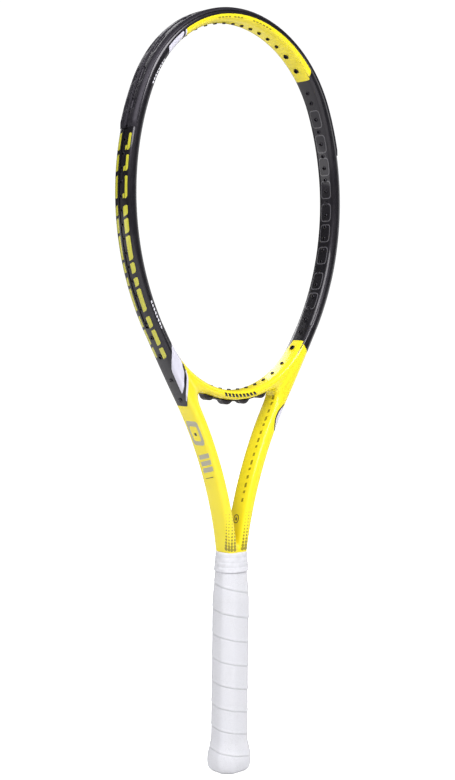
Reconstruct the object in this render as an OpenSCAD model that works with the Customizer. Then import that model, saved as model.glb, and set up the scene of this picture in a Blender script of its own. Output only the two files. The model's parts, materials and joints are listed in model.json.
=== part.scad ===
// Tennis racket, unstrung, 27 inches long.
// X runs across the face, Z up the racket from the butt, and the front face looks toward -Y.
// The frame is drawn flat in a plan, with x across, y up and z toward the front, and is then stood up.

/* [Frame] */
// Length from the butt to the top of the head guard
overall_length = 685.8; // [670:0.1:700]
// Width of the moulded tube, measured in the plane of the face
tube_width = 11.2; // [10:0.1:13]
// Depth of the moulded tube from front to rear
tube_depth = 21.8; // [19:0.1:25]
// Thickness of the carbon laminate
wall = 1.9; // [1.5:0.1:2.4]
// Radius of the tube's middle line over the crown of the head
crown_radius = 115.5; // [112:0.5:118]
// Radius of the tube's middle line down the sides of the head
side_radius = 229.5; // [220:0.5:240]
// Radius of the tube's middle line where it curves in to the handle
throat_radius = 372; // [366:1:376]
// Height at which the two tubes end inside the handle
tube_foot = 14; // [8:1:20]

/* [Bridge] */
// Width of the bridge in the plane of the face
bridge_width = 8.8; // [8:0.1:11]
// Depth of the bridge from front to rear
bridge_depth = 20; // [17:0.1:21]

/* [Stringing] */
// Spacing of the main strings at the middle of the head
main_pitch = 10.8; // [10:0.1:12]
// Spacing of the cross strings
cross_pitch = 11.12; // [10:0.01:12]
// Height of the lowest cross string
lowest_cross = 411.3; // [410:0.1:414]
// Height of the highest cross string, which is spaced wider than the rest
highest_cross = 615; // [613:0.5:618]
// Depth of the string groove in the outer face
groove_depth = 1.5; // [1:0.1:1.8]
// Width of the string groove in the outer face
groove_width = 4.6; // [4:0.1:6]
// Outer radius of a grommet
grommet_radius = 1.75; // [1.5:0.05:1.9]
// Outer radius of the wide grommets that take two strings
wide_grommet_radius = 2.5; // [2.2:0.05:2.8]
// Height of the grommet tips inside the head
grommet_tip = 1.2; // [0.8:0.1:1.6]

/* [Head guard] */
// Thickness of the guard over the crown
guard_thickness = 1.9; // [1.4:0.1:2.5]
// Angle of the face normal at which the guard ends
guard_end = 12.5; // [12:0.1:14]

/* [Handle] */
// Width of the wrapped handle across the face
grip_width = 33.8; // [31:0.1:36]
// Depth of the wrapped handle from front to rear
grip_depth = 30.6; // [28:0.1:33]
// Size of the four slanted bevels
grip_bevel = 8.6; // [7:0.1:9.5]
// Thickness of the wound grip tape
tape = 1.8; // [1.2:0.1:2.2]
// Height of the top of the tape
grip_top = 187; // [185:1:189]
// Growth of the butt's flare past the straight handle
flare = 3.3; // [2:0.1:4]
// Height at which the flare starts
flare_top = 31; // [26:1:36]
// Height of the widest place of the butt
flare_wide = 10; // [8:1:12]
// Height of the bottom of the rubber collar
collar_bottom = 183.5; // [183:0.1:184.5]
// Height of the top of the rubber collar
collar_top = 201; // [197:1:203]

/* [Butt cap] */
// Thickness of the butt cap's floor
cap_floor = 3; // [2.6:0.1:4]
// Width of the trap door
door_width = 17.4; // [14:0.1:18]
// Length of the trap door from its hinge to its free edge
door_length = 12.6; // [10:0.1:13]
// Thickness of the trap door
door_thickness = 1.8; // [1.4:0.1:2]

/* [Dampers] */
// Outer radius of a damper capsule
capsule_radius = 2.7; // [2.4:0.1:2.7]
// Length of a damper capsule
capsule_length = 30; // [26:1:32]
// Radius of the loose beads
bead_radius = 1.9; // [1.6:0.05:2]
// Travel of the row of beads each way from the middle
bead_travel = 3; // [2:0.5:4]

/* [Hidden] */

paint_yellow = "#f2e21c";
carbon_black = "#232227";
guard_grey = "#3a3a3e";
grip_white = "#ececf1";
foam_cream = "#e3d9ba";
steel = "#b9bcc2";

// Sweep angles of the tube's arcs. They are round numbers, so that neighbouring arcs meet exactly.
crown_sweep = 66.5;
side_sweep = 53.5;
shaft_sweep = 2;
// The nearly straight shafts are arcs of a very large circle
shaft_radius = 2000;
// Angle of the face normal where the head's inner contour passes into the bridge
bridge_start = -35.6;
// The bridge's arms start a little lower than the place where the shafts leave that contour
arm_start = -34.5;

half_width = tube_width / 2;
crown_end = 90 - crown_sweep;
side_end = crown_end - side_sweep;
shaft_end = side_end - shaft_sweep;
function dir(a) = [cos(a), sin(a)];

// Centres of the arcs, for the right half
crown_centre = [0, overall_length - guard_thickness - half_width - crown_radius];
side_centre = crown_centre - (side_radius - crown_radius) * dir(crown_end);
shaft_centre = side_centre - (shaft_radius - side_radius) * dir(side_end);
throat_centre = shaft_centre + (shaft_radius + throat_radius) * dir(shaft_end);
foot_x = throat_centre[0] - throat_radius;
// The bridge's middle line is struck from the middle of the racket
bridge_inner = side_radius - half_width + side_centre[0] / cos(bridge_start);
bridge_radius = bridge_inner + bridge_width / 2;
bridge_outer = bridge_inner + bridge_width;
bridge_centre = [0, side_centre[1] - side_centre[0] * tan(bridge_start)];

// Strings. The mains fan out toward the sides.
mains_a_side = 8;
crosses = 19;
through_mains = 4;
bore_radius = 1.15;
hole_clearance = 0.1;
function main_x(i) = main_pitch * (i + 0.5) + 0.0044 * pow(i, 4);
function cross_y(i) = i < crosses - 1 ? lowest_cross + i * cross_pitch : highest_cross;
function is_wide(i) = i == 5 || i == 6;
// Angles of the holes' lines from the centre of the arc that they pierce
crown_inner = crown_radius - half_width;
side_inner = side_radius - half_width;
function top_main_angle(i) = acos(main_x(i) / crown_inner);
function bottom_main_angle(i) = -acos(main_x(i) / bridge_inner);
function side_cross_angle(i) = asin((cross_y(i) - side_centre[1]) / side_inner);
highest_cross_angle = asin((highest_cross - crown_centre[1]) / crown_inner);
corner_main_angle = -31.7;
// The guard covers the crosses above this one, and the side strips hold the rest
first_guarded = 14;

// Handle and butt cap
cap_wall = 2;
rim_round = 5;
taper_bottom = 158;
top_taper = 2.4;
collar_ribs = 4;
door_hinge = [6.6, 1.4];
hinge_radius = 0.9;
trunnion_radius = 0.6;
door_gap = 0.3;

// Dampers, at the ten, two, four and eight o'clock places of the head
damper_angles = [13.6, -18.2];
damper_depth = tube_depth / 2 - wall - capsule_radius - 0.05;
beads = 5;
bead_gap = 0.02;
capsule_bore = bead_radius + 0.06;

// Moves by a distance with more decimal places than one step of the file would keep
module exactly(p) {
    coarse = [for (v = p) floor(v)];
    fine = [for (i = [0, 1]) floor((p[i] - coarse[i]) * 1000) / 1000];
    translate(coarse)
        translate(fine)
            translate(p - coarse - fine)
                children();
}

module stand_up() {
    rotate([90, 0, 0])
        children();
}

module both_sides() {
    children();
    mirror([1, 0, 0])
        children();
}

module on_side(left) {
    mirror([left ? 1 : 0, 0, 0])
        children();
}

// Corner points of a section that is nearly a rounded rectangle
function section_points(width, depth, first = 0, last = 23) = [
    for (i = [first : last])
        let (a = 15 * (i + 0.5), c = cos(a), s = sin(a))
        [width / 2 * sign(c) * pow(abs(c), 2 / 3), depth / 2 * sign(s) * pow(abs(s), 2 / 3)]
];

module arc(centre, radius, from, sweep, steps = 180) {
    exactly(centre)
        rotate_extrude(start = from, angle = sweep, $fn = steps)
            translate([radius, 0])
                children();
}

// ---------------------------------------------------------------- frame

module tube_section(inset) {
    polygon(section_points(tube_width - 2 * inset, tube_depth - 2 * inset));
}

module crown(inset) {
    arc(crown_centre, crown_radius, crown_end, 2 * crown_sweep)
        tube_section(inset);
}

// One side of the head, one shaft and its foot, cut off at the middle of the racket
module side_and_shaft(inset) {
    foot = tube_foot - (inset > 0 ? 1 : 0);
    difference() {
        union() {
            arc(side_centre, side_radius, side_end, side_sweep)
                tube_section(inset);
            arc(shaft_centre, shaft_radius, shaft_end, shaft_sweep, 1440)
                tube_section(inset);
            arc(throat_centre, throat_radius, 180 + shaft_end, -shaft_end, 360)
                tube_section(inset);
            exactly([foot_x, throat_centre[1]])
                rotate([90, 0, 0])
                    linear_extrude(height = throat_centre[1] - foot)
                        tube_section(inset);
        }
        translate([inset / 2 - 40, 0, -20])
            cube([40, 300, 40]);
    }
}

module tube_chain(inset) {
    crown(inset);
    both_sides()
        side_and_shaft(inset);
}

// Distance from a point, along a line, to the outer face of the shaft
function to_outer_face(from, angle) =
    let (m = from - shaft_centre, along = m * dir(angle), r = shaft_radius + half_width)
    sqrt(along * along - m * m + r * r) - along;

// A straight pin along a line from an arc's centre, between two distances from it
module radial_pin(centre, angle, near, far, radius) {
    exactly(centre)
        rotate(angle)
            translate([near, 0, 0])
                rotate([0, 90, 0])
                    cylinder(r = radius, h = far - near, $fn = 32);
}

// The pins of each group of holes. "grow" widens them, and near and far are past the two faces.
module top_main_pins(grow, near, far, wide_grow = 0) {
    for (i = [0 : mains_a_side - 1])
        radial_pin(crown_centre, top_main_angle(i), crown_inner - near, crown_radius + half_width + far,
            grow + (is_wide(i) ? wide_grow : 0));
}

module side_cross_pins(first, last, grow, near, far) {
    for (i = [first : last])
        radial_pin(side_centre, side_cross_angle(i), side_inner - near,
            side_radius + half_width + far, grow);
}

module highest_cross_pin(grow, near, far) {
    radial_pin(crown_centre, highest_cross_angle, crown_inner - near,
        crown_radius + half_width + far, grow);
}

module bridge_main_pins(grow, near, far) {
    for (i = [0 : through_mains - 1])
        radial_pin(bridge_centre, bottom_main_angle(i), bridge_inner - near, bridge_outer + far, grow);
}

module shoulder_pins(grow, near, far, wide_grow = 0) {
    for (i = [through_mains : mains_a_side - 2])
        radial_pin(bridge_centre, bottom_main_angle(i), bridge_inner - near,
            to_outer_face(bridge_centre, bottom_main_angle(i)) + far, grow + (i == 6 ? wide_grow : 0));
    radial_pin(side_centre, corner_main_angle, side_inner - near,
        to_outer_face(side_centre, corner_main_angle) + far, grow);
}

module string_holes() {
    radius = grommet_radius + hole_clearance;
    wide = wide_grommet_radius - grommet_radius;
    both_sides() {
        top_main_pins(radius, 3, 1, wide);
        side_cross_pins(0, crosses - 2, radius, 3, 1);
        highest_cross_pin(radius, 3, 1);
        shoulder_pins(radius, 6, 3, wide);
    }
}

module groove_section(depth, raised = 1) {
    translate([half_width - depth, -groove_width / 2])
        square([depth + raised, groove_width]);
}

module string_groove() {
    arc(crown_centre, crown_radius, crown_end, 2 * crown_sweep)
        groove_section(groove_depth);
    both_sides()
        arc(side_centre, side_radius, side_end + 0.6, side_sweep - 0.6)
            groove_section(groove_depth);
}

module frame_tube() {
    color(carbon_black)
        stand_up()
            difference() {
                tube_chain(0);
                tube_chain(wall);
                string_groove();
                string_holes();
            }
}

module bridge_arms() {
    arc(side_centre, side_inner + bridge_width / 2, bridge_start, arm_start - bridge_start)
        polygon(section_points(bridge_width, bridge_depth));
}

module throat_bridge() {
    color(paint_yellow)
        stand_up()
            difference() {
                union() {
                    arc(bridge_centre, bridge_radius, 180 - bridge_start, 180 + 2 * bridge_start)
                        polygon(section_points(bridge_width, bridge_depth));
                    both_sides()
                        bridge_arms();
                }
                arc(bridge_centre, bridge_radius, 235, 70)
                    polygon(section_points(bridge_width - 2 * wall, bridge_depth - 2 * wall));
                both_sides()
                    side_and_shaft(0);
                both_sides() {
                    bridge_main_pins(grommet_radius + hole_clearance, 3, 3);
                    shoulder_pins(grommet_radius + hole_clearance, 6, 3,
                        wide_grommet_radius - grommet_radius);
                }
            }
}

// ---------------------------------------------------------------- grommets and guard

module guard_section() {
    outer = section_points(tube_width + 2 * guard_thickness, tube_depth + 1, 20, 27);
    inner = section_points(tube_width, tube_depth, 20, 27);
    polygon(concat(outer, [for (i = [7 : -1 : 0]) inner[i]]));
    groove_section(groove_depth, 0);
}

module string_channel() {
    translate([half_width + guard_thickness - 1.2, -1.7])
        square([3, 3.4]);
}

module guard_arcs() {
    arc(crown_centre, crown_radius, crown_end, 2 * crown_sweep)
        children();
    both_sides()
        arc(side_centre, side_radius, guard_end, crown_end - guard_end)
            children();
}

module head_guard() {
    color(guard_grey)
        stand_up()
            difference() {
                union() {
                    guard_arcs()
                        guard_section();
                    both_sides() {
                        top_main_pins(grommet_radius, grommet_tip, -0.5,
                            wide_grommet_radius - grommet_radius);
                        side_cross_pins(first_guarded, crosses - 2, grommet_radius, grommet_tip, -0.5);
                        highest_cross_pin(grommet_radius, grommet_tip, -0.5);
                    }
                }
                guard_arcs()
                    string_channel();
                both_sides() {
                    top_main_pins(bore_radius, 3, 3, 0.55);
                    side_cross_pins(first_guarded, crosses - 2, bore_radius, 3, 3);
                    highest_cross_pin(bore_radius, 3, 3);
                }
            }
}

module grommet_strip(left) {
    color(carbon_black)
        stand_up()
            on_side(left)
                difference() {
                    union() {
                        arc(side_centre, side_radius, side_end + 1, guard_end - side_end - 1.4)
                            translate([half_width - groove_depth, 0.1 - groove_width / 2])
                                square([0.8, groove_width - 0.2]);
                        side_cross_pins(0, first_guarded - 1, grommet_radius, grommet_tip,
                            0.4 - groove_depth);
                    }
                    side_cross_pins(0, first_guarded - 1, bore_radius, 3, 1);
                }
}

module throat_grommet_strip() {
    strip = 1.3;
    lobe_radius = 6.6;
    strip_depth = 9;
    lobe_depth = 8.4;
    lobe_angles = [
        for (i = [0 : 2 : through_mains - 1])
            (bottom_main_angle(i) + bottom_main_angle(i + 1)) / 2
    ];
    color(carbon_black)
        stand_up()
            difference() {
                union() {
                    arc(bridge_centre, bridge_outer, 246, 48)
                        translate([0, -strip_depth / 2])
                            square([strip, strip_depth]);
                    intersection() {
                        arc(bridge_centre, bridge_outer + strip / 2, 240, 60)
                            translate([0, -lobe_depth])
                                square([10, 2 * lobe_depth]);
                        both_sides()
                            for (a = lobe_angles)
                                exactly(bridge_centre)
                                    rotate(a)
                                        translate([bridge_outer - 2.1, 0, -lobe_depth / 2])
                                            cylinder(r = lobe_radius, h = lobe_depth, $fn = 48);
                    }
                    both_sides()
                        bridge_main_pins(grommet_radius, grommet_tip, 1);
                }
                both_sides()
                    bridge_main_pins(bore_radius, 3, 6);
            }
}

module shoulder_grommets(left) {
    wide = wide_grommet_radius - grommet_radius;
    color(carbon_black)
        stand_up()
            on_side(left)
                difference() {
                    shoulder_pins(grommet_radius, grommet_tip, 0.6, wide);
                    shoulder_pins(bore_radius, 8, 4, 0.55);
                }
}

// ---------------------------------------------------------------- dampers

// Stands a child, drawn along z, in the head's right tube, at a place given by its face normal
module in_tube(left, upper) {
    stand_up()
        on_side(left)
            exactly(side_centre)
                rotate(damper_angles[upper ? 0 : 1])
                    translate([side_radius - 0.25, 0, damper_depth])
                        rotate([-90, 0, 0])
                            children();
}

module damper_capsule(left, upper) {
    chamber = 2 * (beads * (bead_radius * 2 + bead_gap) / 2 + bead_travel + 0.1);
    color(steel)
        in_tube(left, upper)
            difference() {
                cylinder(r = capsule_radius, h = capsule_length, center = true, $fn = 48);
                cylinder(r = capsule_bore, h = chamber, center = true, $fn = 48);
            }
}

module damper_beads(left, upper) {
    pitch = 2 * bead_radius + bead_gap;
    color("#6d7078")
        in_tube(left, upper)
            for (i = [0 : beads - 1])
                translate([0, 0, (i - (beads - 1) / 2) * pitch])
                    sphere(r = bead_radius, $fn = 24);
}

// ---------------------------------------------------------------- handle

function octagon(width, depth, bevel) =
    let (x = width / 2, y = depth / 2)
    [
        [x, bevel - y], [x, y - bevel], [x - bevel, y], [bevel - x, y],
        [-x, y - bevel], [-x, bevel - y], [bevel - x, -y], [x - bevel, -y]
    ];

// A solid through a stack of octagons, each given as [height, growth]
module stack(rings) {
    n = len(rings);
    points = [
        for (ring = rings)
            let (width = grip_width + 2 * ring[1], depth = grip_depth + 2 * ring[1])
            for (p = octagon(width, depth, grip_bevel + 0.6 * ring[1]))
                [p[0], p[1], ring[0]]
    ];
    sides = [
        for (i = [0 : n - 2])
            for (k = [0 : 7])
                let (a = 8 * i + k, b = 8 * i + (k + 1) % 8)
                each [[a, a + 8, b], [b, a + 8, b + 8]]
    ];
    polyhedron(points, concat([[for (k = [0 : 7]) k]], sides, [[for (k = [7 : -1 : 0]) 8 * (n - 1) + k]]));
}

// Growth of the handle's outline: a rounded rim and a flare at the butt, and a taper under the collar
function handle_growth(z) =
    z < flare_wide ? flare - rim_round * (1 - sqrt(1 - 0.9 * pow(1 - z / flare_wide, 2)))
    : z < flare_top ? flare * (1 + cos(180 * (z - flare_wide) / (flare_top - flare_wide))) / 2
    : -top_taper * max(0, z - taper_bottom) / (grip_top - taper_bottom);

handle_levels = concat(
    [for (i = [0 : 5]) flare_wide * (1 - cos(18 * i))],
    [for (i = [1 : 6]) flare_wide + (flare_top - flare_wide) * i / 6],
    [taper_bottom, grip_top]
);
cap_levels = 11;
wrap_start = 2;

// The handle's outline between two of its levels, shrunk by inset and made taller by extra
module handle_body(first, last, inset, extra = 0) {
    levels = [for (i = [first : last]) handle_levels[i]];
    top = levels[len(levels) - 1];
    stack(concat(
        [for (z = levels) [z, handle_growth(z) - inset]],
        extra > 0 ? [[top + extra, handle_growth(top) - inset]] : []
    ));
}

module staple(height, turn, face) {
    rotate(turn)
        translate([face, 0, height]) {
            translate([-0.5, -4.5, -0.4])
                cube([0.5, 9, 0.8]);
            for (y = [-4.5, 3.9])
                translate([-6, y, -0.4])
                    cube([6, 0.6, 0.8]);
        }
}

module butt_cap_staples() {
    height = 21;
    color(steel)
        for (turn = [0, 180])
            staple(height, turn, grip_width / 2 - tape + handle_growth(height) - 0.1);
}

module grip_staple() {
    height = 13;
    color(steel)
        staple(height, 90, grip_depth / 2 - tape + handle_growth(height) - 0.1);
}

module cap_cavity(extra) {
    stack([
        [cap_floor, -tape - cap_wall],
        [flare_top + extra, -tape - cap_wall]
    ]);
}

module pallet(front) {
    color(foam_cream)
        difference() {
            union() {
                cap_cavity(0);
                handle_body(cap_levels, len(handle_levels) - 1, tape);
            }
            translate([-40, front ? 0 : -40, -1])
                cube([80, 40, 220]);
            stand_up()
                both_sides()
                    side_and_shaft(0);
            translate([-9, -9, 0])
                cube([18, 18, tube_foot]);
            butt_cap_staples();
            grip_staple();
        }
}

module hinge_rod(radius, length) {
    translate([-length / 2, door_hinge[0], door_hinge[1]])
        rotate([0, 90, 0])
            cylinder(r = radius, h = length, $fn = 32);
}

module butt_cap() {
    opening_back = door_hinge[0] + hinge_radius + 2 * door_gap;
    opening_front = door_hinge[0] - door_length - door_gap;
    color(grip_white)
        difference() {
            handle_body(0, cap_levels, tape);
            cap_cavity(1);
            translate([-door_width / 2 - door_gap, opening_front, -1])
                cube([door_width + 2 * door_gap, opening_back - opening_front, cap_floor + 2]);
            hinge_rod(trunnion_radius + 0.06, door_width + 4);
            butt_cap_staples();
            grip_staple();
        }
}

module butt_cap_door() {
    color(grip_white)
        union() {
            translate([-door_width / 2, door_hinge[0] - door_length, door_hinge[1] - hinge_radius])
                cube([door_width, door_length, door_thickness]);
            hinge_rod(hinge_radius, door_width);
            hinge_rod(trunnion_radius, door_width + 3.4);
        }
}

module grip_wrap() {
    last = len(handle_levels) - 1;
    color(grip_white)
        difference() {
            handle_body(wrap_start, last, 0);
            handle_body(0, last, tape, 1);
        }
}

module finishing_tape() {
    bottom = collar_bottom + 0.6;
    top = grip_top - 0.6;
    color(grip_white)
        difference() {
            stack([for (z = [bottom, top]) [z, handle_growth(z) + 0.3]]);
            stack([for (z = [bottom - 1, top + 1]) [z, handle_growth(z)]]);
        }
}

// Growth of the collar's outline, with rounded ribs
function collar_growth(z) =
    let (t = (z - collar_bottom) / (collar_top - collar_bottom))
    -1.1 - 1.5 * t + 0.35 * abs(sin(180 * collar_ribs * t));

module grip_collar() {
    steps = collar_ribs * 6;
    rise = (collar_top - collar_bottom) / steps;
    color(grip_white)
        difference() {
            stack([
                for (i = [0 : steps])
                    let (z = collar_bottom + i * rise)
                    [z, collar_growth(z)]
            ]);
            stack([
                [collar_bottom - 1, handle_growth(collar_bottom - 1) + 0.32],
                [grip_top + 0.2, handle_growth(grip_top) + 0.32]
            ]);
            stand_up()
                both_sides()
                    side_and_shaft(0);
        }
}

frame_tube();
throat_bridge();
head_guard();
grommet_strip(true);  // grommet_strip_left
grommet_strip(false);  // grommet_strip_right
throat_grommet_strip();
shoulder_grommets(true);  // shoulder_grommets_left
shoulder_grommets(false);  // shoulder_grommets_right
damper_capsule(true, true);  // damper_capsule_upper_left
damper_capsule(false, true);  // damper_capsule_upper_right
damper_capsule(true, false);  // damper_capsule_lower_left
damper_capsule(false, false);  // damper_capsule_lower_right
damper_beads(true, true);  // damper_beads_upper_left
damper_beads(false, true);  // damper_beads_upper_right
damper_beads(true, false);  // damper_beads_lower_left
damper_beads(false, false);  // damper_beads_lower_right
pallet(true);  // pallet_front
pallet(false);  // pallet_rear
butt_cap();
butt_cap_door();
butt_cap_staples();
grip_wrap();
grip_staple();
finishing_tape();
grip_collar();
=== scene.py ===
"""An unstrung tennis racket: painted hoop and shafts, guard, grommets, wound grip and butt cap."""
import itertools
import json
import math
from collections import namedtuple

import bmesh
import bpy
import numpy as np
from mathutils import Matrix, Vector

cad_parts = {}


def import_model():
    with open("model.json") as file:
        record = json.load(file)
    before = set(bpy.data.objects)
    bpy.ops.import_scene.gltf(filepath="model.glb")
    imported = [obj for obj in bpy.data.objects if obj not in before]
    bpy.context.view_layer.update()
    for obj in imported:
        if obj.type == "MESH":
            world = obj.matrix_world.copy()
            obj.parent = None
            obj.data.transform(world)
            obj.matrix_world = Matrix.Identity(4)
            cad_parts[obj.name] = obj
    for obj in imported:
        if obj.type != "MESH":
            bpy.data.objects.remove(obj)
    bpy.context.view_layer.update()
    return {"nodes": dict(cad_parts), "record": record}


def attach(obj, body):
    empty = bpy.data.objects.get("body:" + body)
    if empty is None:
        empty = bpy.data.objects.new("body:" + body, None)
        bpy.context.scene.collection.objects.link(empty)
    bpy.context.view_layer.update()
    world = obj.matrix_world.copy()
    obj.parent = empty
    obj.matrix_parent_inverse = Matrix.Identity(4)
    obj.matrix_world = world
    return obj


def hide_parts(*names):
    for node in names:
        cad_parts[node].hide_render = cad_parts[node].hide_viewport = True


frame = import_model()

MM = 0.001

# ---------------- driving dimensions, in millimetres

OVERALL_LENGTH = 685.8
GUARD_THICKNESS = 1.9
TUBE_WIDTH = 11.2
TUBE_DEPTH = 21.8
HALF_WIDTH = TUBE_WIDTH / 2
HALF_DEPTH = TUBE_DEPTH / 2
CROWN_RADIUS = 115.5
SIDE_RADIUS = 229.5
SHAFT_RADIUS = 2000.0
THROAT_RADIUS = 372.0
TUBE_FOOT = 14.0
BRIDGE_WIDTH = 8.8
BRIDGE_DEPTH = 20.0

# Directions of the outward normal where one arc of the tube passes into the next, in degrees
CROWN_END = 23.5
SIDE_END = -30.0
SHAFT_END = -32.0
BRIDGE_START = -35.6

# The painted section: its slanted bevels, the crown of its faces and the softness of its edges
BEVEL_IN = 2.3
BEVEL_UP = 3.3
SHAFT_BEVEL = 0.8
FACE_CROWN = 0.3
FRONT_CROWN = 0.55
EDGE_ROUNDING = 0.8
# The hoop's faces roll off toward the strings, from this far inside the middle line
ROLL_START = 2.2
INNER_ROLL = 0.085
# Heights between which each feature is found, and the lengths over which it fades in
ROLL_LOW = 380
ROLL_FADE = 60
CROTCH_HIGH = 330
BRIDGE_LOW = 300
HEAD_LOW = 420
SHAFT_FADE = 90
BRIDGE_FADE = 8
# Fillets where the shafts meet each other and the bridge, and the bridge's share of the full bevel
CROTCH_FILLET = 6.0
BRIDGE_FILLET = 19.0
BRIDGE_BEVEL = 0.9
# Farther than any part of the section reaches
FAR = 40.0
# Edge of the cells that the painted surface is found in
FRAME_CELL = 1.1

# Grommets and the groove that they sit in
GROOVE_DEPTH = 1.5
GROOVE_WIDTH = 4.6
GROMMET_RADIUS = 1.75
WIDE_EXTRA = 0.75
BORE_RADIUS = 1.15
WIDE_BORE_EXTRA = 0.55
GROMMET_TIP = 1.2
HOLE_CLEARANCE = 0.1
GUARD_END = 12.5
CORNER_MAIN_ANGLE = -31.7
MAINS_A_SIDE = 8
THROUGH_MAINS = 4
WIDE_CROWN_MAINS = (5, 6)
WIDE_SHOULDER_MAIN = 6
MAIN_PITCH = 10.8
MAIN_FAN = 0.0044
CROSSES = 19
FIRST_CROSS = 411.3
CROSS_PITCH = 11.12
LAST_CROSS = 615.0
FIRST_GUARDED = 14

# Handle
GRIP_WIDTH = 33.8
GRIP_DEPTH = 30.6
GRIP_BEVEL = 8.6
GRIP_TOP = 187.0
FLARE = 3.3
FLARE_TOP = 31.0
FLARE_WIDE = 10.0
RIM_ROUND = 5.0
TAPER_BOTTOM = 158.0
TOP_TAPER = 2.4
TAPE = 1.8
WRAP_BOTTOM = 1.91
COLLAR_BOTTOM = 183.5
COLLAR_TOP = 201.0
COLLAR_RIBS = 4
RIB_HEIGHT = 0.28
# The collar's outline past the plain octagon at its foot, and how much it narrows toward its top
COLLAR_GROWTH = -0.95
COLLAR_TAPER = 1.5


def direction(angle):
    """The unit vector at an angle in degrees, from x toward z."""
    return np.array([math.cos(math.radians(angle)), math.sin(math.radians(angle))])


def turn_parts(turn):
    return np.cos(np.radians(turn)), np.sin(np.radians(turn))


CROWN_CENTRE = np.array([0.0, OVERALL_LENGTH - GUARD_THICKNESS - HALF_WIDTH - CROWN_RADIUS])
SIDE_CENTRE = CROWN_CENTRE - (SIDE_RADIUS - CROWN_RADIUS) * direction(CROWN_END)
SHAFT_CENTRE = SIDE_CENTRE - (SHAFT_RADIUS - SIDE_RADIUS) * direction(SIDE_END)
THROAT_CENTRE = SHAFT_CENTRE + (SHAFT_RADIUS + THROAT_RADIUS) * direction(SHAFT_END)
FOOT_X = THROAT_CENTRE[0] - THROAT_RADIUS
BRIDGE_INNER = SIDE_RADIUS - HALF_WIDTH + SIDE_CENTRE[0] / math.cos(math.radians(BRIDGE_START))
BRIDGE_OUTER = BRIDGE_INNER + BRIDGE_WIDTH
BRIDGE_CENTRE = np.array([
    0.0, SIDE_CENTRE[1] - SIDE_CENTRE[0] * math.tan(math.radians(BRIDGE_START)),
])

# Lengths along the tube's middle line, counted from the crown
TO_SIDE = CROWN_RADIUS * math.radians(90 - CROWN_END)


def side_length(angle):
    """Length from the crown to the place where the side's arc has the given normal."""
    return TO_SIDE + SIDE_RADIUS * math.radians(CROWN_END - angle)


TO_SHAFT = side_length(SIDE_END)
TO_THROAT = TO_SHAFT + SHAFT_RADIUS * math.radians(SIDE_END - SHAFT_END)
TO_FOOT = TO_THROAT + THROAT_RADIUS * math.radians(-SHAFT_END)
GUARD_LENGTH = side_length(GUARD_END)


# ---------------- the tube's middle line

def middle_line(s):
    """Points (x, z) and outward normals of the right tube's middle, at lengths s from the crown."""
    s = np.asarray(s, float)
    crown = np.radians(90) - s / CROWN_RADIUS
    side = np.radians(CROWN_END) - (s - TO_SIDE) / SIDE_RADIUS
    shaft = np.radians(SIDE_END) - (s - TO_SHAFT) / SHAFT_RADIUS
    throat = np.radians(SHAFT_END) + (s - TO_THROAT) / THROAT_RADIUS
    parts = [s < TO_SIDE, s < TO_SHAFT, s < TO_THROAT, s < TO_FOOT]
    angle = np.select(parts, [crown, side, shaft, throat], 0.0)
    normal = np.stack([np.cos(angle), np.sin(angle)], -1)
    points = np.select(
        [part[..., None] for part in parts],
        [
            CROWN_CENTRE + CROWN_RADIUS * normal,
            SIDE_CENTRE + SIDE_RADIUS * normal,
            SHAFT_CENTRE + SHAFT_RADIUS * normal,
            THROAT_CENTRE - THROAT_RADIUS * normal,
        ],
        np.stack([np.full_like(s, FOOT_X), THROAT_CENTRE[1] - (s - TO_FOOT)], -1),
    )
    return points, normal


def hoop(s):
    """The same for the whole frame, where lengths to the left of the crown are negative."""
    points, normal = middle_line(np.abs(s))
    side = np.where(np.asarray(s) < 0, -1.0, 1.0)
    turn = np.stack([side, np.ones_like(side)], -1)
    return points * turn, normal * turn


def along_and_off(x, z):
    """Length along the right tube's middle, and distance off it, of points (x, z)."""
    def polar(centre):
        dx, dz = x - centre[0], z - centre[1]
        return np.degrees(np.arctan2(dz, dx)), np.hypot(dx, dz)

    crown_angle, crown_reach = polar(CROWN_CENTRE)
    side_angle, side_reach = polar(SIDE_CENTRE)
    shaft_angle, shaft_reach = polar(SHAFT_CENTRE)
    throat_x, throat_z = THROAT_CENTRE[0] - x, z - THROAT_CENTRE[1]
    throat_angle = -np.degrees(np.arctan2(throat_z, throat_x))
    parts = [
        (crown_angle >= CROWN_END) & (z > CROWN_CENTRE[1]),
        side_angle >= SIDE_END,
        shaft_angle >= SHAFT_END,
        (throat_z >= 0) & (x > -FAR),
    ]
    s = np.select(parts, [
        np.radians(90 - crown_angle) * CROWN_RADIUS,
        TO_SIDE + np.radians(CROWN_END - side_angle) * SIDE_RADIUS,
        TO_SHAFT + np.radians(SIDE_END - shaft_angle) * SHAFT_RADIUS,
        TO_THROAT + np.radians(throat_angle - SHAFT_END) * THROAT_RADIUS,
    ], TO_FOOT - throat_z)
    off = np.select(parts, [
        crown_reach - CROWN_RADIUS,
        side_reach - SIDE_RADIUS,
        shaft_reach - SHAFT_RADIUS,
        THROAT_RADIUS - np.hypot(throat_x, throat_z),
    ], x - FOOT_X)
    return s, off


# ---------------- the painted surface, as a field

def smooth_step(t):
    t = np.clip(t, 0, 1)
    return t * t * (3 - 2 * t)


def smooth_max(values, softness):
    values = np.broadcast_arrays(*values)
    top = np.maximum.reduce(values)
    return top + softness * np.log(sum(np.exp((v - top) / softness) for v in values))


def smooth_min(a, b, reach):
    """The lesser of two distances, with a fillet where they are closer than reach."""
    reach = np.maximum(reach, 1e-6)
    h = np.maximum(reach - np.abs(a - b), 0) / reach
    return np.minimum(a, b) - h * h * reach / 4


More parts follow.
